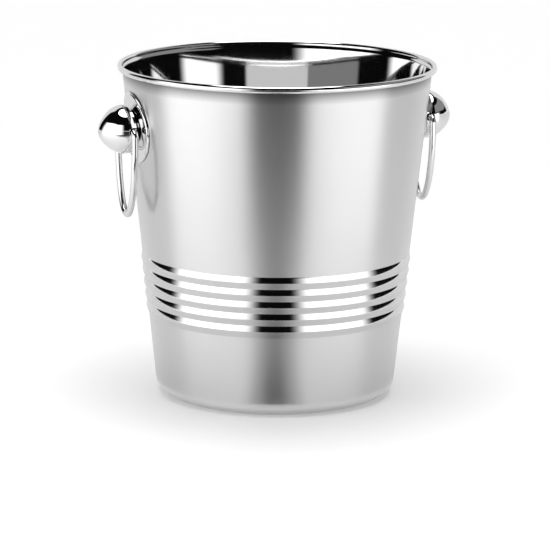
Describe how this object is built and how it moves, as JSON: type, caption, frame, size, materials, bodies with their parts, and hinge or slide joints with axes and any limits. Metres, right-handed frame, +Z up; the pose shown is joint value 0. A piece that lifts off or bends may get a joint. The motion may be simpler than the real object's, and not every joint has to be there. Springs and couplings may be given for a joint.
{
  "type": "champagne bucket",
  "caption": "Tapered steel champagne bucket with a rolled rim, pressed reeds round its lower half and a hanging ring handle on a turned knob at each side.",
  "frame": {"origin": "centre of the foot, on the surface that the bucket stands on", "axes": "+Z up along the bucket's axis, +X towards the right handle, the handles lying on the X axis"},
  "size_m": [0.2334, 0.2, 0.21],
  "materials": {
    "satin_steel": "fine satin grain running round the wall, mirror bright on the upper faces of the reeds and on the rolled rim",
    "polished_steel": "mirror polished",
    "polished_wire": "bright drawn and polished wire",
    "seal_nylon": "natural white nylon",
    "fixing_steel": "turned stainless steel"
  },
  "bodies": {
    "bucket": {"bucket_shell": "satin_steel", "left_escutcheon": "polished_steel", "left_knob": "polished_steel", "left_seal_washer": "seal_nylon", "left_backing_washer": "fixing_steel", "left_spring_washer": "fixing_steel", "left_fixing_screw": "fixing_steel", "right_escutcheon": "polished_steel", "right_knob": "polished_steel", "right_seal_washer": "seal_nylon", "right_backing_washer": "fixing_steel", "right_spring_washer": "fixing_steel", "right_fixing_screw": "fixing_steel"},
    "left_handle": {"left_ring": "polished_wire"},
    "right_handle": {"right_ring": "polished_wire"}
  },
  "joints": [
    {"name": "left_ring_swing", "type": "hinge", "parent": "bucket", "child": "left_handle", "pos_m": [-0.09846, 0, 0.17316], "axis": [0, 1, 0], "range_deg": [-8, 174]},
    {"name": "right_ring_swing", "type": "hinge", "parent": "bucket", "child": "right_handle", "pos_m": [0.09846, 0, 0.17316], "axis": [0, -1, 0], "range_deg": [-8, 174]}
  ]
}
